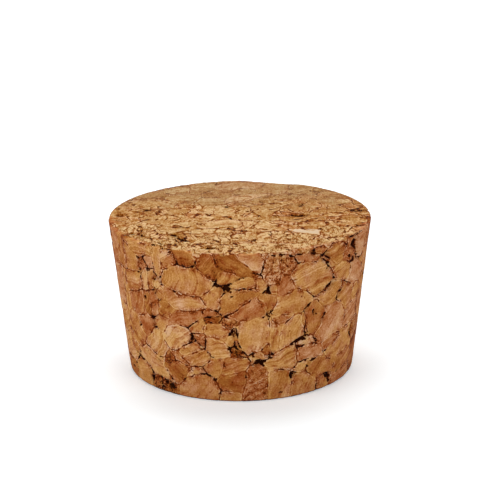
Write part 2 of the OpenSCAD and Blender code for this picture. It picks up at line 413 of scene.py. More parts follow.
    ("tan", 60, 40.5, -0.3, 40.2, 1.8, 41.5, 2.4, 46, 2.4, 47.5, 1.5, 48, -0.3),
    ("orange", 30, 51.5, 4.2, 54, 5, 60, 5.4, 67, 5.5, 68, 4, 62, 2.6, 57, 2.1, 52.5, 2.3, 51, 3),
    ("rose", 10, 48.6, -0.3, 49.5, 1.6, 52, 2, 62, 2.4, 66, 1.8, 65, -0.3),
    ("rose", 10, 23.2, 24.3, 23.6, 25.4, 28, 25.5, 35, 24.3, 34, 23.5, 28, 23.9),
    ("orange", 0, 29, 25.6, 32, 26.3, 38.5, 26.3, 39, 24.8, 37, 24.4, 32, 24.9),
    ("ochre", 20, 39.4, 25, 41, 26.3, 50, 26, 51, 24.5, 50.4, 23.2, 47, 22, 45, 22, 40.5, 23.4),
    ("tan", -30, 39.6, 23, 41, 23.1, 45.3, 22, 44, 21.5, 41.5, 22),
    ("tan", 20, 43.3, 21.2, 45, 21.8, 52, 21.8, 56, 21, 57.5, 20, 55.5, 18.5, 46, 19.5),
    ("rust", -20, 50.8, 24, 52, 24.4, 57, 24.2, 59, 23, 57, 21.9, 51.5, 22, 50.4, 22.8),
    ("rose", 0, 51.2, 25.4, 52, 26.3, 60, 26.3, 61.5, 25.5, 59, 24.6, 53, 24.6),
    ("pink", 0, 60.6, 24.8, 62, 26.3, 72, 26.3, 72, 23, 67, 21, 61.6, 22.8),
    ("pink", -25, 57.6, 20, 60.5, 21.9, 66, 20.6, 72, 18.6, 68, 16.9, 60, 17.4, 55.9, 18.4),
    ("orange", 60, 72, 18.9, 68, 20.6, 73, 22.6, 78, 22, 78, 17),
]

# Granules in the wide end: kind, lean of the growth lines, and the corners, each as place across, place back
END_GRANULES = [
    ("cream", 30, -13.5, 14, -12.5, 17.5, -10.5, 18.6, -9, 17.5, -8.8, 15, -10.4, 13.2),
    ("brown", 10, -19.2, 9, -17.5, 14.5, -13.8, 17, -13, 13.5, -13, 10, -16.5, 8.2),
    ("tan", 20, -8.5, 14, -9, 18.5, -8.5, 21, -4.3, 22, -4, 18, -5, 15, -7, 13),
    ("pink", 10, -4, 17.5, -4.2, 22, 5, 22, 4, 17, 0, 15.6, -3, 15.8),
    ("umber", 0, -6.5, 13, -5, 14.8, -1.5, 15.4, -1, 12.5, -3, 10.8, -5.5, 11),
    ("blush", 70, -2.5, 7.5, -1.5, 11.5, 2, 13.5, 5, 13, 0.5, 7.8),
    ("tan", 20, 5, 22, 9.2, 20.5, 8.5, 15, 6, 13.2, 3, 13.8),
    ("ochre", 20, 8.6, 15, 9.3, 20.5, 14.3, 17.5, 15, 14, 12, 12.5, 9, 13),
    ("brown", 0, 14.6, 17.4, 18.8, 13, 20, 9.5, 17, 9.2, 14, 11.2),
    ("ochre", 20, 1, 8, 3, 10.3, 8, 12.4, 10.5, 11.5, 9, 8.8, 4.5, 6.8, 2, 6.5),
    ("brown", 30, 9.5, 8.5, 11, 11.8, 14, 11, 17, 9, 16, 5, 12, 4.6, 10.5, 6),
    ("ochre", 10, -12.5, 10, -12.5, 13, -10, 13, -7, 12.6, -7, 9, -10, 7.6),
    ("tan", 10, -16.5, 8, -13, 9.8, -11.5, 8, -11.5, 4.5, -15, 4, -18, 5.5),
    ("brown", 40, -21.8, 4, -19.5, 8.8, -17.5, 5.6, -16.5, 2, -21.9, 1.2),
    ("ochre", 0, -7.5, 6.8, -6.5, 10, -3.5, 9.8, -2.8, 7.2, -5, 6.2),
    ("cream", 20, -8.6, 1, -8, 4, -5.8, 5.8, -4.3, 5, -4.4, 1.5, -5.5, 0.3),
    ("cream", 20, -4, 1.2, -4, 5, -2.5, 6, -1, 4, 0, 1.5, -1, -0.8, -3, -0.5),
    ("cream", 10, -7, -3.6, -7, -0.2, -4.5, 0, -1.5, -1, -1, -2),
    ("ochre", 0, -11.4, 4.3, -8.7, 3.8, -9, 0.5, -13, 0.3, -14.5, 3.2),
    ("ochre", 0, -16.3, 0.4, -9, 0, -9.5, -3, -13, -5, -16.5, -3),
    ("brown", 40, -22, 0.8, -17, 1.5, -16.8, -3, -19.5, -7, -21.6, -4),
    ("tan", 0, -12, -5.8, -9.5, -3.2, -7.2, -4, -7.5, -6.8, -10.3, -7.2),
    ("cream", 0, -7, -4.2, -3, -2.6, 0, -3.7, 0.5, -6.5, -2.5, -8, -6.5, -7),
    ("grit", 40, -19.3, -7.5, -16.5, -3.5, -13, -5.5, -14, -8.5, -17.5, -10.5),
    ("straw", 0, -13.6, -8.6, -12, -6.4, -8.5, -7.5, -8, -9.8, -13.3, -10.8),
    ("grit", -60, -18, -10.8, -14, -9, -12.8, -11.5, -13, -17.5, -16.5, -15),
    ("ochre", -50, -9.8, -10.4, -6, -10.4, -5.8, -12, -7.5, -15, -9.2, -13),
    ("straw", 0, -8, -10, -7, -7.4, -2.5, -8.2, -2, -10.3, -5.5, -10.2),
    ("grit", 20, -5.5, -10.5, -1.5, -10.5, 0.5, -12, -1, -16, -5.5, -17, -7.3, -15),
    ("grit", -50, -12.8, -11, -10.5, -11, -8, -16, -8, -20.5, -12.8, -18),
    ("grit", 0, -8, -16.9, 0, -16.8, 1, -19, 0, -22, -8, -21),
    ("cream", 60, 0.7, -3.5, 4, -3, 6.5, -5.5, 5, -9.5, 1, -9.5, 0.6, -6.5),
    ("ochre", 70, 0.3, -1.5, 1.8, 0, 1.5, 4, 0, 6, -1, 4.2),
    ("ochre", 30, 2, 0.5, 2, 5.8, 5, 6.3, 7, 5, 6.5, 1.5, 4.5, -0.5),
    ("brown", 60, 7, 2, 7.5, 5, 10.5, 7.5, 12, 4.3, 10.5, 0.5),
    ("brown", 0, 6, -1.2, 10.5, 0.3, 13.5, -0.5, 14, -3.5, 11, -5, 7.5, -3.8),
    ("brown", 0, 11, 0.3, 12.5, 4.2, 17, 4.8, 19, 2, 16.5, -1, 13.5, -0.7),
    ("umber", 0, 17.3, 5, 19.8, 9, 21.8, 4, 22, -1, 19.5, -0.5),
    ("brown", 0, 14, -3.8, 16.5, -1.2, 19.5, -0.8, 21.3, -5, 17.5, -7.5, 14.5, -6.5),
    ("umber", 0, 8.5, -6, 14, -4, 14.3, -6.8, 11.5, -8.3, 9.5, -8),
    ("white", -35, 8, -8.5, 9.5, -8.2, 13, -9.5, 12.5, -11.5, 10.5, -11, 8.2, -10),
    ("grit", 0, 5, -9.8, 7.5, -9.6, 12, -12, 11, -16, 5, -16),
    ("grit", 0, 13.2, -9.7, 14.5, -7, 17.5, -7.8, 20.5, -9, 18, -13, 13, -13.5),
    ("grit", 20, 11.5, -16, 12.5, -13.5, 18, -13.3, 14.5, -17, 11.3, -19.3),
    ("cream", 70, 1, -10, 4.8, -10, 4.8, -15, 2, -16, 0.7, -12.5),
    ("grit", 0, 0.2, -16.3, 4.5, -16, 10.8, -16.5, 11, -19.3, 5, -21.8, 0.5, -22),
]

# The dice that lay granules and openings start from here, so that the stopper comes out the same each time
SEED = 7
# How far a granule reaches above and below its outline, and the most planes that one has
DEEP = 1.0
PLANES = 15
# Turn from the front, in degrees, past which the side is thrown at random, and the kinds that are thrown
HIDDEN_TURN = 74
THROWN_KINDS = [
    "pale", "straw", "tan", "tan", "orange", "pink", "rose", "ochre", "brown", "umber", "rust", "crumb", "cream",
]
# Granules to fill up with: half width, and the most of each
FILL_SIZES = ((3.3, 30), (2.6, 60), (2.0, 100), (1.5, 160), (1.0, 260), (0.6, 300))
# Blocks along each side of the lattice of soft noise
LATTICE = 32
# How many granules with near middles are looked at for each place
CANDIDATES = 16


def in_side(turn, z):
    """Gives the frame on the side at turns and heights: the place, the way round, the way up and the way out."""
    radius = NARROW_R + (WIDE_R - NARROW_R) * z / height
    angle = np.radians(turn - 90)
    flat = np.zeros_like(angle)
    lying = math.cos(TAPER)
    place = np.stack([radius * np.cos(angle), radius * np.sin(angle), z], axis=-1)
    across = np.stack([-np.sin(angle), np.cos(angle), flat], axis=-1)
    out = np.stack([lying * np.cos(angle), lying * np.sin(angle), flat - math.sin(TAPER)], axis=-1)
    return place, across, np.cross(out, across), out


class Granules:
    """Granules as stones with flat sides: their middles, the planes round each, as outward directions and distances
    from the middle, their sizes, the way across their growth lines, and their looks."""

    def __init__(self):
        self.middle = np.zeros((0, 3))
        self.facing = np.zeros((0, PLANES, 3))
        self.far = np.zeros((0, PLANES))
        self.size = np.zeros(0)
        self.lines = np.zeros((0, 3))
        self.look = np.zeros((0, 3))

    def lay(self, corner, out, middle, axes, line_lean, look):
        """Adds a granule by its outline on the surface. Its planes go through the edges of the outline, square to the
        surface, and lie above and below it, and the first stands in for those that it lacks."""
        across, up, away = axes
        square = np.cross(np.roll(corner, -1, axis=0) - corner, out + np.roll(out, -1, axis=0))
        square = square / np.linalg.norm(square, axis=1, keepdims=True)
        far = ((corner - middle) * square).sum(axis=1)
        square = np.concatenate([square * np.sign(far)[:, None], [away, -away]])
        far = np.concatenate([np.abs(far), [DEEP, DEEP]])
        spare = np.r_[np.arange(len(far)), np.zeros(PLANES - len(far), int)]
        turn = math.radians(line_lean)
        self.middle = np.concatenate([self.middle, middle[None]])
        self.facing = np.concatenate([self.facing, square[spare][None]])
        self.far = np.concatenate([self.far, far[spare][None]])
        self.size = np.append(self.size, np.linalg.norm(corner - middle, axis=1).mean())
        self.lines = np.concatenate([self.lines, [math.cos(turn) * up - math.sin(turn) * across]])
        self.look = np.concatenate([self.look, look[None]])

    def reach(self, place, which):
        """Gives how far places lie outside granules, in millimetres, below 0 inside: the most that a place lies
        beyond any of the granule's planes."""
        away = place - self.middle[which]
        return (np.einsum("...kj,...j->...k", self.facing[which], away) - self.far[which]).max(axis=-1)


def lay_by_hand(granules):
    """Lays the listed granules, in the side and then in the wide end."""
    for kind, line_lean, *numbers in SIDE_GRANULES:
        turn, z = np.array(numbers, float).reshape(-1, 2).T
        corner, _, _, out = in_side(turn, z)
        middle, *axes = in_side(turn.mean(), z.mean())
        granules.lay(corner, out, middle, axes, line_lean, np.array(KINDS[kind]))
    for kind, line_lean, *numbers in END_GRANULES:
        flat = np.array(numbers, float).reshape(-1, 2)
        corner = np.insert(flat, 2, height, axis=1)
        out = np.tile((0.0, 0.0, 1.0), (len(corner), 1))
        granules.lay(corner, out, corner.mean(axis=0), np.eye(3), line_lean, np.array(KINDS[kind]))


def fill_up(granules, places, normals):
    """Packs granules into the rest of the skin, large ones first, wherever a place is clear of those already laid.

    Each has 5 to 8 corners thrown round an ellipse. The two smallest sizes are thrown only behind and below."""
    dice = np.random.default_rng(SEED)
    clear = np.full(len(places), 99.0)
    turned = np.degrees(np.arctan2(places[:, 0], -places[:, 1]))
    behind = ((np.abs(turned) > HIDDEN_TURN) | (normals[:, 2] < -0.5)) & (normals[:, 2] < 0.5)

    def keep_clear(which):
        """Lowers the clear distances of the places round a granule."""
        close = np.flatnonzero(np.abs(places - granules.middle[which]).max(axis=1) < granules.size[which] + 4)
        clear[close] = np.minimum(clear[close], granules.reach(places[close], which))

    for which in range(len(granules.middle)):
        keep_clear(which)
    for size, most in FILL_SIZES:
        for _ in range(most):
            free = np.flatnonzero((clear > 0.62 * size) & (behind | (size > 1)))
            if not len(free):
                break
            pick = dice.choice(free)
            out = normals[pick]
            on_side = abs(out[2]) < 0.7
            across = np.cross((0, 0, 1), out) if on_side else np.array([1.0, 0, 0])
            across = across / np.linalg.norm(across)
            up = np.cross(out, across)
            lean = math.radians(dice.normal(0, 25) if on_side else dice.uniform(0, 180))
            corners = dice.integers(5, 9)
            round_turn = (np.arange(corners) + dice.uniform(0, 0.6, corners)) * 2 * math.pi / corners
            long = size * dice.uniform(1.0, 1.35, corners) * np.cos(round_turn)
            short = size * dice.uniform(0.6, 1.0) * dice.uniform(0.9, 1.2, corners) * np.sin(round_turn)
            right = long * math.cos(lean) - short * math.sin(lean)
            above = long * math.sin(lean) + short * math.cos(lean)
            corner = places[pick] + right[:, None] * across + above[:, None] * up
            look = np.clip(KINDS[dice.choice(THROWN_KINDS)] + dice.normal(0, (0.06, 0.08, 0.02)), 0, 1)
            outs = np.tile(out, (corners, 1))
            line_lean = math.degrees(lean) + dice.normal(0, 30)
            granules.lay(corner, outs, corner.mean(axis=0), (across, up, out), line_lean, look)
            keep_clear(-1)


def soft_noise(place, size, seed):
    """Gives smooth noise from -1 to 1: dice thrown on a cubic lattice and blended smoothly in between."""
    lattice = np.random.default_rng(seed).uniform(-1, 1, (LATTICE,) * 3)
    cell = place / size
    first = np.floor(cell).astype(int)
    t = cell - first
    t = t * t * (3 - 2 * t)
    total = 0
    for corner in product((0, 1), repeat=3):
        at = tuple(((first + corner) % LATTICE).T)
        weight = np.where(corner, t, 1 - t).prod(axis=-1)
        total = total + weight * lattice[at]
    return total


def wander(place, normals):
    """Shifts places by soft noise in three sizes, so that seams wander and aren't ruled, most of all on the ends."""
    shift = np.zeros_like(place)
    for size, amount in ((3.4, 0.20), (1.2, 0.14), (0.6, 0.05)):
        for axis in range(3):
            shift[:, axis] += amount * soft_noise(place, size, seed=10 * axis + int(10 * size))
    return place + shift * (1 + 1.2 * np.abs(normals[:, 2:]) ** 4)


def nearest(place, granules, count):
    """Gives each place's nearest granules by reach, in order, sought among those whose middles are the nearest."""
    who = []
    for block in np.array_split(place, 60):
        far = np.linalg.norm(block[:, None].astype(np.float32) - granules.middle[None].astype(np.float32), axis=-1)
        near = np.argpartition(far - granules.size, CANDIDATES, axis=1)[:, :CANDIDATES]
        reaches = granules.reach(block[:, None], near)
        order = np.argsort(reaches, axis=1)[:, :count]
        who.append(np.take_along_axis(near, order, axis=1))
    return np.concatenate(who)


granules = Granules()
lay_by_hand(granules)
fill_up(granules, places, normals)
spots = wander(places, normals)


# ----------------------------------------------- its openings and its finish
# Where granules met badly the seam gapes, and bark pores show as pits. The side
# was ground smooth; the ends were sawn, so they are rougher and their rims crumble.

# Open seams in the side: turn, height, how far the opening runs, its width
OPEN_SEAMS = [
    (-71, 1.8, 2.4, 0.9),
    (-59, 4.6, 1.3, 0.7),
    (-53, 3.3, 2.2, 0.6),
    (-50.5, 1.3, 1.5, 0.9),
    (-49, 20.6, 1.1, 0.5),
    (-47, 23.2, 1.4, 0.5),
    (-43, 12.6, 1.5, 0.7),
    (-42, 21.8, 1.6, 0.5),
    (-41, 2.1, 2.6, 0.5),
    (-40.5, 17.4, 1.4, 0.5),
    (-38.5, 20.4, 1.1, 0.8),
    (-29.5, 18.8, 0.7, 0.6),
    (-29, 3.4, 1.2, 0.3),
    (-27, 24.4, 1.2, 0.4),
    (-24, 5.6, 1, 0.3),
    (-23.4, 10.8, 1.0, 0.8),
    (-22, 23.6, 1.5, 0.5),
    (-22, 13.1, 1.8, 0.4),
    (-17.6, 10.1, 1.1, 0.6),
    (-17.6, 4.8, 1.7, 0.6),
    (-14.5, 8.2, 1.1, 0.4),
    (-14, 14.6, 1.2, 0.5),
    (-13.5, 3.9, 0.7, 0.5),
    (-12, 1.1, 1, 0.5),
    (-9.6, 20.7, 1.0, 0.7),
    (-9, 15.6, 1.4, 0.6),
    (-5.5, 19.8, 1.3, 0.9),
    (1, 19.9, 2.4, 0.4),
    (-3, 12.2, 0.9, 1.0),
    (-3, 9.5, 1.3, 0.7),
    (-0.5, 8.5, 1, 0.7),
    (2.5, 4.3, 1.2, 0.4),
    (5.5, 8, 0.8, 0.7),
    (8, 7.2, 1.1, 1.3),
    (9, 23, 1.4, 0.4),
    (10.5, 15.1, 1, 0.5),
    (11.4, 19.6, 0.9, 0.8),
    (11.3, 9.1, 1, 0.3),
    (13, 15.6, 0.8, 0.5),
    (13, 25.7, 1.2, 0.3),
    (14, 7.7, 1.2, 0.4),
    (22, 25.4, 2.6, 0.4),
    (25, 4, 0.7, 1.3),
    (27.5, 10.3, 1.8, 0.9),
    (29, 6.2, 1.6, 0.4),
    (30, 16, 1.2, 0.5),
    (31.5, 10.8, 0.7, 0.7),
    (32, 24.7, 1, 0.7),
    (35, 5.7, 1.8, 0.6),
    (36, 9.5, 0.9, 0.5),
    (37, 17.9, 1.8, 0.6),
    (39, 23.7, 1.3, 1),
    (40, 21.7, 1.1, 0.9),
    (40.5, 12.8, 0.7, 0.8),
    (42, 14, 1.6, 0.4),
    (42.5, 18.7, 1.7, 1.2),
    (45, 7.3, 1.2, 0.4),
    (46.5, 2.1, 1.5, 0.8),
    (48.8, 16.5, 1.1, 0.8),
    (53, 18.2, 1.1, 0.6),
    (56, 1.6, 0.9, 0.6),
    (59, 24.2, 1.6, 1.1),
    (62.5, 21.4, 2.6, 0.8),
    (65, 8.6, 1.1, 1.2),
]

# Pits in the side: turn, height, width, tallness, lean
SIDE_PITS = [
    (-59, 13.2, 1.2, 0.4, 10),
    (-54, 11, 1, 0.6, 20),
    (-51, 10.3, 0.7, 0.4, -10),
    (-51.5, 6.5, 0.7, 0.3, 30),
    (-47.8, 16.3, 0.5, 0.9, 0),
    (-43, 5.4, 1.2, 0.4, -40),
    (-41.8, 15.6, 0.4, 0.6, 0),
    (-41, 6.2, 0.9, 0.3, -10),
    (-36.3, 1.5, 1.3, 0.8, -30),
    (-39.6, 1.9, 0.9, 0.7, 20),
    (-42, 1, 1.0, 0.5, 0),
    (-71, 1.7, 2.6, 0.7, -10),
    (-38.5, 20.5, 1.0, 0.4, -10),
    (-23.4, 10.8, 0.7, 1.4, -15),
    (-17.9, 9.9, 0.35, 0.7, 10),
    (-9.9, 20.6, 0.9, 0.5, -20),
    (-8.9, 15.4, 0.5, 0.9, 15),
    (-5.9, 19.8, 1.8, 1.0, -25),
    (-3.2, 12.1, 0.6, 1.1, 0),
    (-2.8, 9.5, 0.9, 0.4, -30),
    (-3.3, 18.7, 1, 0.3, 15),
    (5.6, 8, 0.7, 0.5, 0),
    (7.7, 7.1, 1.4, 1.0, 10),
    (10.3, 15, 0.9, 0.25, 5),
    (11.5, 19.6, 0.6, 0.5, 0),
    (13.9, 7.7, 1.2, 0.4, 0),
    (25, 3.8, 0.8, 1.2, -10),
    (28.3, 10.1, 2.3, 0.8, -5),
    (38.3, 23.6, 1.3, 0.5, 0),
    (40, 21.6, 0.9, 0.5, 30),
    (42.3, 18.6, 1.6, 0.5, 20),
    (46.5, 2, 1.2, 0.7, -20),
    (59, 24.2, 1.3, 0.6, -15),
    (62.5, 21.4, 2.2, 0.4, -30),
    (19.5, 1.2, 1.1, 0.3, 10),
    (24.2, 20.8, 0.8, 0.2, 0),
    (27.7, 17.7, 0.45, 0.45, 0),
    (30.5, 11.7, 0.4, 0.3, 0),
    (32.5, 11.7, 0.35, 0.3, 0),
    (34.6, 14.6, 0.6, 1.3, 10),
    (36, 14.2, 0.6, 0.5, 0),
    (55, 22.5, 1, 0.7, -10),
    (57, 22, 0.6, 0.4, -20),
]

# Pits in the wide end: place across and back from the middle, width, length, lean
END_PITS = [
    (-15.8, 3.4, 1.5, 1.0, -10),
    (-20, 0.6, 1.3, 1.6, 0),
    (-17.4, -10, 1.2, 0.6, -30),
    (-15.9, -11, 0.6, 2.2, 25),
    (-13.2, 11.8, 0.7, 0.6, 0),
    (-12.6, -15.3, 0.5, 2, 20),
    (-11.6, -16.3, 0.6, 0.7, 0),
    (-13.7, -16.3, 1.3, 0.6, -50),
    (-12.4, -17.6, 0.5, 1.2, 10),
    (-10.5, -11, 1.5, 1.6, 0),
    (-9.6, 14, 1.6, 0.5, 10),
    (-9.4, -13.4, 0.9, 3.4, 35),
    (-5.2, 0.2, 0.4, 1.2, 20),
    (-5, -18.5, 2.6, 0.7, 0),
    (-4, 19.8, 0.6, 1, 20),
    (-2.2, 4.8, 0.5, 2.2, 50),
    (-1.6, -1.7, 0.6, 1.6, 30),
    (2.3, -14.2, 0.5, 1.3, -20),
    (4, 7.5, 1.6, 0.5, -20),
    (4.9, -11.1, 0.5, 1.3, 0),
    (5.8, -1.4, 1.3, 1, 0),
    (8.1, -6.6, 0.8, 0.6, 0),
    (9.8, -0.7, 2.7, 1.7, 0),
    (10.5, 5.5, 0.5, 2.6, -20),
    (12.8, 14.2, 0.6, 0.6, 0),
    (13, -8.6, 0.7, 0.5, 0),
    (13.9, 13.9, 0.6, 0.6, 0),
    (18, -12.5, 0.6, 2, -20),
    (19.8, 1.9, 2.4, 1.5, 0),
]


# Openings thrown behind and below
HIDDEN_OPENINGS = 110


def seam_room(spots, granules):
    """Gives how far each spot lies from the seam between its two nearest granules, and from the third."""
    who = nearest(spots, granules, 3)
    near = granules.reach(spots[:, None], who)
    return who, (near[:, 1] - near[:, 0]) / 2, (near[:, 2] - near[:, 0]) / 2


def seam_gape(places, corner_room, along):
    """Gives half the width that a seam would gape at each place.

    Openings are listed in front and thrown at random where granules meet behind and below. Each is half its
    width, times e to the power of minus the fourth power of the distance over its run."""
    gape = np.zeros(len(places))
    turn, z, run, width = (np.array(column, float) for column in zip(*OPEN_SEAMS))
    middle = in_side(turn, z)[0]
    dice = np.random.default_rng(SEED + 1)
    turned = np.degrees(np.arctan2(places[:, 0], -places[:, 1]))
    hidden = ((np.abs(turned) > HIDDEN_TURN) | (along < NARROW_R)) & (along < along.max() - WIDE_R - 0.5)
    joints = np.flatnonzero(hidden & (corner_room < 0.35))
    more = dice.choice(joints, HIDDEN_OPENINGS, replace=False)
    middle = np.concatenate([middle, places[more]])
    run = np.concatenate([run, dice.uniform(0.6, 2.2, len(more))])
    width = np.concatenate([width, dice.choice([0.3, 0.5, 0.8, 1.2], len(more), p=[0.4, 0.3, 0.2, 0.1])])
    for at, r, w in zip(middle, run, width):
        gape = np.maximum(gape, w / 2 * np.exp(-(np.linalg.norm(places - at, axis=1) / r) ** 4))
    return gape


def pit_depths(places):
    """Gives how far inside a pit's edge each place lies, in millimetres, below 0 outside all of them.

    A pit is an egg: with space squashed so that it is a unit ball, a place's length less 1 tells how far out it
    lies."""
    turn, z, *side = (np.array(column, float) for column in zip(*SIDE_PITS))
    x, y, *end = (np.array(column, float) for column in zip(*END_PITS))
    on_side = in_side(turn, z)
    on_end = [np.stack([x, y, np.full(len(x), height)], axis=1)]
    on_end += [np.tile(axis, (len(x), 1)) for axis in np.eye(3)]
    middle, across, up, out = (np.concatenate(pair) for pair in zip(on_side, on_end))
    width, tall, lean = (np.concatenate(pair) for pair in zip(side, end))
    lean = np.radians(lean)[:, None]
    long = np.cos(lean) * across + np.sin(lean) * up
    short = np.cos(lean) * up - np.sin(lean) * across
    deep = 0.4 * np.minimum(width, tall) + 0.3
    inside = np.full(len(places), -9.0)
    for i in range(len(middle)):
        away = places - middle[i]
        squashed = away @ np.stack([2 * long[i] / width[i], 2 * short[i] / tall[i], out[i] / deep[i]], axis=1)
        share = np.maximum(np.linalg.norm(squashed, axis=1), 1e-6)
        far = np.linalg.norm(away, axis=1)
        inside = np.maximum(inside, far / share - far)
    return inside


def smooth(value, low, high):
    """Rises from 0 at low to 1 at high along a smoothstep."""
    t = np.clip((value - low) / (high - low), 0, 1)
    return t * t * (3 - 2 * t)


who, room, corner_room = seam_room(spots, granules)
gape = seam_gape(places, corner_room, along_section)
pit = pit_depths(places)
foot_s, head_s = along_section[0], along_section[SIDE_CUTS * 4 * SKIN_CUTS]
end_s = np.maximum(foot_s - along_section, along_section - head_s)
sawn = smooth(end_s, -0.25, 0.25)


def cut_depth():
    """Gives how far each point sinks below the ground or sawn surface.

    Granules stand a little uneven, seams are shallow grooves, openings go deep, and sawn ends and rims are rough."""
    uneven = np.random.default_rng(SEED + 2).uniform(0, 0.07, len(granules.middle))[who[:, 0]]
    ragged = 0.12 * soft_noise(places, 0.5, 40)
    open_by = np.maximum(gape - room, pit) + ragged * (np.maximum(gape, pit + 0.2) > 0.1)
    hole = smooth(open_by, -0.05, 0.4) * (0.35 + 0.9 * np.maximum(gape, 0.3)) * smooth(places[:, 2], 0, 1.2)
    groove = 0.06 * np.exp(-(room / 0.16) ** 2)
    saw = 0.02 * (1 + soft_noise(places, 0.9, 41)) + 0.03 * (1 + soft_noise(places, 0.45, 42))
    rim = np.exp(-(end_s / 0.6) ** 2) * np.where(places[:, 2] > height / 2, 1.0, 0.15)
    crumble = 0.40 * smooth(soft_noise(places, 2.0, 43) + 0.5 * soft_noise(places, 0.5, 44), 0.45, 1.1)
    crumble = crumble * smooth(-places[:, 1], -6, 2) + 0.8 * np.exp(-((places[:, 0] - 6) / 3) ** 2) * (places[:, 1] > 0)
    uneven = uneven * (1 - 0.7 * sawn) * (1 - rim)
    return 0.02 + uneven * smooth(room, 0, 0.5) + groove + hole + sawn * saw + rim * crumble


sunk = places - normals * cut_depth()[:, None]

# How much a way along x, y and z counts for the width of a seam on the ends
SAW_TEAR = (1.5, 0.5, 1)


def corner_reaches(spots, faces, granules):
    """Gives each face its three nearest granules in number order, their reaches at its corners, and how wide a seam
    shows.

    A pair's reaches differ by nothing on the seam. The difference grows there by a slope that the four corners give,
    so dividing by that slope turns it into millimetres from the seam. On the ends a way along y counts for less and one
    along x for more, since the saw came along y: it tore the seams that lay across its way, and closed the others."""
    corner = spots[faces]
    who = np.sort(nearest(corner.mean(axis=1), granules, 3), axis=1)
    near = granules.reach(corner[:, :, None], who[:, None])
    torn = np.ones((len(corner), 3))
    torn[len(corner) - 2 * SKIN_CUTS * SKIN_CUTS:] = SAW_TEAR
    over = torn * (corner[:, 1] + corner[:, 2] - corner[:, 0] - corner[:, 3]) / 2
    up = torn * (corner[:, 2] + corner[:, 3] - corner[:, 0] - corner[:, 1]) / 2
    across = (over * up).sum(1)
    grid = np.stack([np.stack([(over * over).sum(1), across], 1), np.stack([across, (up * up).sum(1)], 1)], 1)
    inverse = np.linalg.inv(grid)
    per_mm = []
    for a, b in ((0, 1), (0, 2), (1, 2)):
        d = near[:, :, b] - near[:, :, a]
        rise_over = (d[:, 1] + d[:, 2] - d[:, 0] - d[:, 3]) / 2
        rise_up = (d[:, 2] + d[:, 3] - d[:, 0] - d[:, 1]) / 2
        rise = np.stack([rise_over, rise_up], 1)
        slope = np.sqrt(np.einsum("ni,nij,nj->n", rise, inverse, rise))
        per_mm.append(1 / np.clip(slope, 0.8, 2.4))
    away = corner[:, :, None] - granules.middle[who][:, None]
    line = np.einsum("nckj,nkj->nck", away, granules.lines[who])
    bend = np.random.default_rng(SEED + 3).normal(0, 0.06, len(granules.middle))[who][:, None]
    line = line + bend * ((away ** 2).sum(-1) - line ** 2)
    return who, near, np.stack(per_mm, axis=1), line


def put(mesh, name, domain, values):
    """Stores one number or three for each point, face or corner of the mesh."""
    kind, field = ("FLOAT", "value") if values.ndim == 1 else ("FLOAT_VECTOR", "vector")
    mesh.attributes.new(name, kind, domain).data.foreach_set(field, values.astype(np.float32).ravel())


def make_stopper():
    """Builds the stopper's mesh with all that its material needs to know about the granules."""
    quads = np.concatenate(faces)
    mesh = bpy.data.meshes.new("cork_stopper")
    mesh.from_pydata(sunk * MM, [], quads)
    mesh.update()
    mesh.shade_smooth()
    flat = mesh.uv_layers.new(name="OFBake")
    flat.data.foreach_set("uv", flat_map(places, faces).astype(np.float32).ravel())
    who, near, per_mm, line = corner_reaches(spots, quads, granules)
    put(mesh, "reach", "CORNER", near.reshape(-1, 3))
    put(mesh, "line", "CORNER", line.reshape(-1, 3))
    put(mesh, "per_mm", "FACE", per_mm)
    put(mesh, "who", "FACE", who)
    for column, name in enumerate(("pale", "red", "crumbly")):
        put(mesh, name, "FACE", granules.look[:, column][who])
    put(mesh, "gape", "POINT", gape)
    put(mesh, "pit", "POINT", pit)
    put(mesh, "end_s", "POINT", end_s)
    stopper = bpy.data.objects.new("cork_stopper", mesh)
    bpy.context.collection.objects.link(stopper)
    return stopper


stopper = make_stopper()
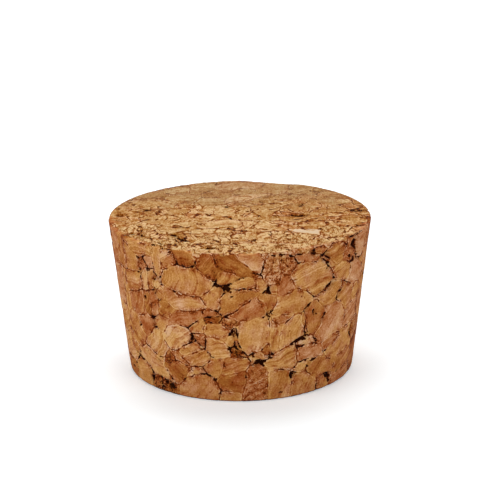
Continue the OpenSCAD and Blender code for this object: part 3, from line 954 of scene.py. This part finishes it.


# ------------------------------------------------------------------ its cork
# Bare cork bark: tan to rust granules with fine growth lines, small dark pores,
# dark seams with painted highlight along their edges, and painted black shade inside the openings.

class Finish:
    """A material that is put together one node at a time. Its methods take and give sockets, numbers or colours."""

    def __init__(self, name):
        self.material = bpy.data.materials.new(name)
        self.material.use_nodes = True
        self.tree = self.material.node_tree
        self.shader = self.tree.nodes["Principled BSDF"]

    def node(self, kind, inputs, **settings):
        """Adds a node, makes its settings, and joins or sets its inputs by name or number."""
        node = self.tree.nodes.new(kind)
        for name, value in settings.items():
            setattr(node, name, value)
        for socket, value in inputs.items():
            if isinstance(value, bpy.types.NodeSocket):
                self.tree.links.new(value, node.inputs[socket])
            else:
                node.inputs[socket].default_value = value
        return node

    def sum(self, operation, *values):
        """Does arithmetic on two or three numbers."""
        return self.node("ShaderNodeMath", dict(enumerate(values)), operation=operation).outputs[0]

    def times(self, a, b):
        """Multiplies two numbers."""
        return self.sum("MULTIPLY", a, b)

    def less(self, a, b):
        """Takes the second number from the first."""
        return self.sum("SUBTRACT", a, b)

    def scaled(self, a, by, start):
        """Adds to start so many times a."""
        return self.sum("MULTIPLY_ADD", a, by, start)

    def off(self, a, b):
        """Gives how far two numbers lie apart."""
        return self.sum("ABSOLUTE", self.less(a, b))

    def between(self, factor, a, b):
        """Goes from number a to number b."""
        return self.node("ShaderNodeMix", {0: factor, 2: a, 3: b}).outputs[0]

    def dot(self, a, b):
        """Multiplies two sets of three numbers and adds up."""
        return self.node("ShaderNodeVectorMath", {0: a, 1: b}, operation="DOT_PRODUCT").outputs["Value"]

    def moved(self, place, shift):
        """Moves a place by a shift."""
        return self.node("ShaderNodeVectorMath", {0: place, 1: shift}, operation="ADD").outputs[0]

    def squeezed(self, place, shares):
        """Multiplies a place by a share along each axis, which draws a pattern out where the share is small."""
        return self.node("ShaderNodeVectorMath", {0: place, 1: shares}, operation="MULTIPLY").outputs[0]

    def stored(self, name, part="Vector"):
        """Reads what the mesh stores under a name."""
        return self.node("ShaderNodeAttribute", {}, attribute_name=name).outputs[part]

    def three(self, socket):
        """Splits three numbers."""
        return list(self.node("ShaderNodeSeparateXYZ", {0: socket}).outputs)

    def rise(self, value, low, high, bottom=0.0, top=1.0):
        """Rises smoothly from bottom at low to top at high."""
        inputs = {"Value": value, "From Min": low, "From Max": high, "To Min": bottom, "To Max": top}
        return self.node("ShaderNodeMapRange", inputs, interpolation_type="SMOOTHSTEP").outputs[0]

    def noise(self, place, size, detail=2.0, twist=0.0, rough=0.5):
        """Gives 3-D noise about 0.5, whose blobs are about so many millimetres across."""
        inputs = {"Vector": place, "Scale": 1 / size, "Detail": detail, "Roughness": rough, "Distortion": twist}
        return self.node("ShaderNodeTexNoise", inputs).outputs[0]

    def streaks(self, along, size, detail=1.0):
        """Gives noise about 0.5 that changes only with one number."""
        inputs = {"W": along, "Scale": 1 / size, "Detail": detail}
        return self.node("ShaderNodeTexNoise", inputs, noise_dimensions="1D").outputs[0]

    def mix(self, factor, a, b):
        """Blends colour b into colour a."""
        return self.node("ShaderNodeMix", {0: factor, 6: a, 7: b}, data_type="RGBA").outputs[2]

    def ramp(self, value, colours):
        """Runs through evenly spaced colours as the value goes from 0 to 1."""
        node = self.node("ShaderNodeValToRGB", {0: value})
        stops = node.color_ramp.elements
        while len(stops) < len(colours):
            stops.new(0.5)
        for i, colour in enumerate(colours):
            stops[i].position = i / (len(colours) - 1)
            stops[i].color = (*colour, 1)
        return node.outputs[0]


# Tones of cork from 0, the dark of a hole, to 1, cream, for tan and for red granules, and where it was sawn
TAN_CORK = [
    (0.016, 0.004, 0.001), (0.112, 0.024, 0.003), (0.228, 0.057, 0.007), (0.335, 0.104, 0.018),
    (0.450, 0.176, 0.040), (0.565, 0.268, 0.079), (0.690, 0.395, 0.155),
]
RED_CORK = [
    (0.018, 0.003, 0.001), (0.125, 0.018, 0.001), (0.236, 0.043, 0.004), (0.338, 0.084, 0.019),
    (0.448, 0.162, 0.056), (0.570, 0.272, 0.126), (0.710, 0.425, 0.250),
]
SAWN_CORK = [
    (0.018, 0.003, 0.000), (0.080, 0.013, 0.000), (0.174, 0.042, 0.002), (0.300, 0.108, 0.014),
    (0.418, 0.204, 0.058), (0.515, 0.308, 0.127), (0.650, 0.440, 0.220),
]
# The grey of the far part of the sawn end, and the paint-like white of its palest chips
FAR_GREY = (0.22, 0.15, 0.085)
CHALK = (0.62, 0.47, 0.34)


def granule_here(f):
    """Finds the granule that holds each place and how far its seam is, from the three candidates that a face stores."""
    a, b, c = f.three(f.stored("reach"))
    ab_mm, ac_mm, bc_mm = f.three(f.stored("per_mm"))
    shake = f.scaled(f.noise(f.mm, 0.7, 2.0), 1.1, -0.55)
    ab = f.times(f.sum("ADD", f.less(b, a), shake), ab_mm)
    ac = f.times(f.sum("ADD", f.less(c, a), shake), ac_mm)
    bc = f.times(f.sum("ADD", f.less(c, b), shake), bc_mm)
    in_a = f.sum("MINIMUM", ab, ac)
    in_b = f.sum("MINIMUM", f.times(ab, -1.0), bc)
    in_c = f.times(f.sum("MAXIMUM", ac, bc), -1.0)
    room = f.sum("MAXIMUM", f.sum("MAXIMUM", in_a, in_b), in_c)
    is_a = f.sum("GREATER_THAN", in_a, 0.0)
    is_b = f.times(f.sum("GREATER_THAN", in_b, 0.0), f.less(1.0, is_a))
    is_c = f.less(f.less(1.0, is_a), is_b)
    holder = f.node("ShaderNodeCombineXYZ", {0: is_a, 1: is_b, 2: is_c}).outputs[0]
    return room, [f.dot(holder, f.stored(name)) for name in ("who", "line", "pale", "red", "crumbly")]


def bonded_cork():
    """Makes the material of the whole stopper.

    All that darkens or lightens it moves one tone, from 0 to 1, which the ramps turn into colour."""
    f = Finish("bonded_cork")
    place = f.node("ShaderNodeTexCoord", {}).outputs["Object"]
    f.mm = f.node("ShaderNodeVectorMath", {0: place, "Scale": 1 / MM}, operation="SCALE").outputs[0]
    room, (who, line, pale, red, crumbly) = granule_here(f)
    dice = f.node("ShaderNodeTexWhiteNoise", {"W": who}, noise_dimensions="1D").outputs["Color"]
    lined = f.three(dice)[0]
    blotch = f.noise(f.mm, 1.7)
    cloud = f.noise(f.mm, 2.9, 1.0)
    patchy = f.noise(f.mm, 1.5, 1.0)
    patch_b = f.noise(f.moved(f.mm, (40, 0, 0)), 1.1, 1.0)

    # where it was sawn: both ends, with a ragged edge that stops short of the rims in front
    # and runs over them behind
    fray = f.scaled(f.noise(f.mm, 2.4, 1.0), 3.4, f.times(f.noise(f.mm, 0.7, 1.0), 2.2))
    fray = f.sum("ADD", fray, f.rise(f.three(f.mm)[1], -4.0, 8.0, -3.3, -2.3))
    sawn = f.rise(f.sum("ADD", f.stored("end_s", "Fac"), fray), -0.06, 0.06)

    # the saw came along y, and drew out along it all that is fine. The far part of the sawn end,
    # with an uneven edge, is greyer and smoother than the rest
    saw_mm = f.squeezed(f.mm, (0.95, 0.38, 0.9))
    torn_mm = f.node("ShaderNodeMix", {0: sawn, 4: f.mm, 5: saw_mm}, data_type="VECTOR").outputs[1]
    grain = f.noise(torn_mm, 0.27, 3.0, rough=0.7)
    far = f.scaled(f.noise(f.mm, 5.0), 18.0, f.three(f.mm)[1])
    far = f.times(sawn, f.rise(far, 9.0, 23.0))
    rougher = f.scaled(far, -0.60, sawn)

    # the granule's own tone, which drifts, with its growth lines, veins and grain
    level = f.scaled(pale, 0.50, 0.42)
    blurred = f.between(f.rise(room, -0.1, 0.5), 0.5, pale)
    on_end = f.scaled(blurred, 0.28, 0.575)
    tone = f.between(sawn, level, on_end)
    tone = f.scaled(f.less(blotch, 0.5), f.scaled(sawn, -0.1, 0.50), tone)
    wavy = f.sum("ADD", f.scaled(blotch, 1.1, line), f.times(who, 7.31))
    rings = f.less(f.sum("ADD", f.streaks(wavy, 0.7), f.streaks(wavy, 0.26)), 1.0)
    tone = f.scaled(rings, f.rise(lined, 0.0, 1.0, 0.08, 0.42), tone)
    tone = f.scaled(f.less(f.streaks(wavy, 2.6), 0.5), 0.38, tone)
    veins = f.rise(f.off(f.streaks(wavy, 1.1), 0.5), 0.0, 0.034, 1.0, 0.0)
    veins = f.times(veins, f.rise(patch_b, 0.40, 0.60))
    tone = f.scaled(veins, -0.20, tone)

    # crumbled cork: dark worm tracks and pale crumbs, in crumbly granules, at seams and all over the sawn ends
    worms = f.noise(torn_mm, 0.68, 2.0, 0.5)
    tracks = f.rise(f.off(worms, 0.46), 0.01, 0.06, 1.0, 0.0)
    crumbs = f.rise(f.off(worms, 0.59), 0.0, 0.06, 1.0, 0.0)
    by_seam = f.times(f.rise(room, 0.1, 0.9, 1.0, 0.0), f.rise(patchy, 0.45, 0.58))
    torn = f.times(rougher, f.rise(patchy, 0.44, 0.64, 0.08, 0.40))
    torn = f.sum("MAXIMUM", crumbly, torn)
    torn = f.sum("MAXIMUM", torn, f.times(by_seam, f.scaled(sawn, -0.6, 1.0)))
    grainy = f.scaled(sawn, 0.3, f.scaled(torn, 0.6, 0.7))
    tone = f.scaled(f.less(grain, 0.5), grainy, tone)
    tone = f.scaled(f.times(tracks, torn), -0.42, tone)
    tone = f.scaled(f.times(crumbs, torn), f.scaled(sawn, 0.22, 0.10), tone)
    stroke_mm = f.squeezed(f.mm, (0.62, 0.48, 0.9))
    strokes = f.off(f.noise(stroke_mm, 1.9, 1.5, 0.7), 0.5)
    struck = f.times(rougher, f.rise(cloud, 0.40, 0.53))
    tone = f.scaled(f.times(f.rise(strokes, 0.008, 0.045, 1.0, 0.0), struck), -0.46, tone)
    # painted highlight: a pale band beside each dark stroke, as on the lit lip of a groove
    beside = f.times(f.rise(strokes, 0.03, 0.05), f.rise(strokes, 0.07, 0.10, 1.0, 0.0))
    tone = f.scaled(f.times(beside, struck), 0.18, tone)

    # seams with pale edges that are painted highlight, and bark pores
    half_seam = f.rise(f.noise(f.mm, 1.3, 1.0), 0.36, 0.66, 0.035, 0.12)
    half_seam = f.scaled(sawn, 0.04, half_seam)
    past_seam = f.less(room, half_seam)
    # painted highlight: a pale band along both sides of a seam, as on its lit edges
    edge = f.times(f.rise(past_seam, 0.02, 0.07), f.rise(past_seam, 0.10, 0.28, 1.0, 0.0))
    tone = f.scaled(edge, f.rise(patch_b, 0.42, 0.62, 0.05, 0.28), tone)
    pores = f.node("ShaderNodeTexVoronoi", {"Vector": f.mm, "Scale": 1 / 1.3})
    pore = f.rise(pores.outputs["Distance"], 0.06, 0.14, 1.0, 0.0)
    pore = f.times(pore, f.sum("GREATER_THAN", f.three(pores.outputs["Color"])[0], 0.72))
    tone = f.scaled(f.times(pore, f.scaled(sawn, -0.7, 1.0)), -0.32, tone)
    seam = f.rise(past_seam, -0.02, 0.025, 1.0, 0.0)
    kept = f.between(sawn, f.rise(patchy, 0.43, 0.56, 0.12, 1.0), f.rise(cloud, 0.44, 0.56, 0.15, 0.85))
    seam = f.times(seam, kept)
    seam_tone = f.scaled(sawn, 0.04, f.rise(patch_b, 0.40, 0.62, 0.36, 0.16))
    tone = f.scaled(seam, f.less(seam_tone, tone), tone)

    # openings at the seams, and pits, with painted shade: near black inside them, and darker round the pits on the sawn
    # end
    ragged = f.scaled(f.noise(f.mm, 0.6, 1.0), 0.7, -0.35)
    gape = f.times(f.stored("gape", "Fac"), f.rise(patch_b, 0.40, 0.56, 0.35, 0.85))
    pit = f.less(f.stored("pit", "Fac"), 0.05)
    open_by = f.sum("ADD", f.sum("MAXIMUM", f.less(gape, room), pit), ragged)
    is_hole = f.sum("GREATER_THAN", f.sum("MAXIMUM", gape, f.sum("ADD", pit, 0.3)), 0.08)
    hole = f.times(f.rise(open_by, -0.02, 0.13), is_hole)
    lip = f.times(f.rise(open_by, -0.30, -0.08), f.less(is_hole, hole))
    tone = f.scaled(lip, 0.05, tone)
    # painted shade: the sawn end is darkened in and round its pits
    pit_shade = f.times(sawn, f.rise(f.scaled(ragged, 1.5, pit), -0.7, 0.1))
    tone = f.scaled(pit_shade, -0.28, tone)
    # painted shade: inside openings and pits the tone drops to near black
    tone = f.scaled(hole, f.scaled(tone, -1.0, 0.02), tone)
    # painted contact shadow: a thin dark line at the foot of the side, and none on the narrow end
    foot = f.rise(f.three(f.mm)[2], 0.12, 0.34, 0.6, 0.0)
    tone = f.less(tone, f.times(foot, f.rise(f.stored("end_s", "Fac"), 0.0, 0.5, 1.0, 0.0)))

    # stain beside the seams and red drift
    stain = f.times(f.rise(room, 0.0, 0.9, 1.0, 0.0), f.rise(patchy, 0.42, 0.60))
    red = f.scaled(f.less(cloud, 0.45), 1.8, red)
    red = f.scaled(f.less(patchy, 0.5), 1.6, red)
    red = f.scaled(stain, f.scaled(sawn, -0.6, 0.9), red)
    red = f.scaled(f.sum("MAXIMUM", seam, veins), 0.6, red)
    red = f.sum("MINIMUM", f.sum("MAXIMUM", red, 0.0), 1.0)
    tone = f.scaled(stain, -0.12, tone)
    colour = f.mix(red, f.ramp(tone, TAN_CORK), f.ramp(tone, RED_CORK))
    colour = f.mix(f.times(sawn, f.scaled(red, -0.45, 0.95)), colour, f.ramp(tone, SAWN_CORK))
    colour = f.mix(f.times(far, 0.32), colour, (*FAR_GREY, 1))
    chalky = f.times(f.rise(blurred, 1.0, 2.4, 0.0, 0.75), f.rise(tone, 0.75, 1.2))
    colour = f.mix(f.times(sawn, chalky), colour, (*CHALK, 1))

    f.tree.links.new(colour, f.shader.inputs["Base Color"])
    f.tree.links.new(f.rise(grain, 0.3, 0.7, 0.95, 0.80), f.shader.inputs["Roughness"])
    f.shader.inputs["Specular IOR Level"].default_value = 0.02
    f.shader.inputs["Sheen Weight"].default_value = 0.05
    f.shader.inputs["Sheen Roughness"].default_value = 0.3
    relief = f.scaled(seam, -0.35, grain)
    relief = f.scaled(f.times(tracks, torn), -0.6, relief)
    relief = f.scaled(hole, -1.5, relief)
    bump = f.node("ShaderNodeBump", {"Height": relief, "Distance": 0.12 * MM, "Strength": 0.7})
    f.tree.links.new(bump.outputs[0], f.shader.inputs["Normal"])
    return f.material


stopper.data.materials.append(bonded_cork())
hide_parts("stopper")
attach(stopper, "root")
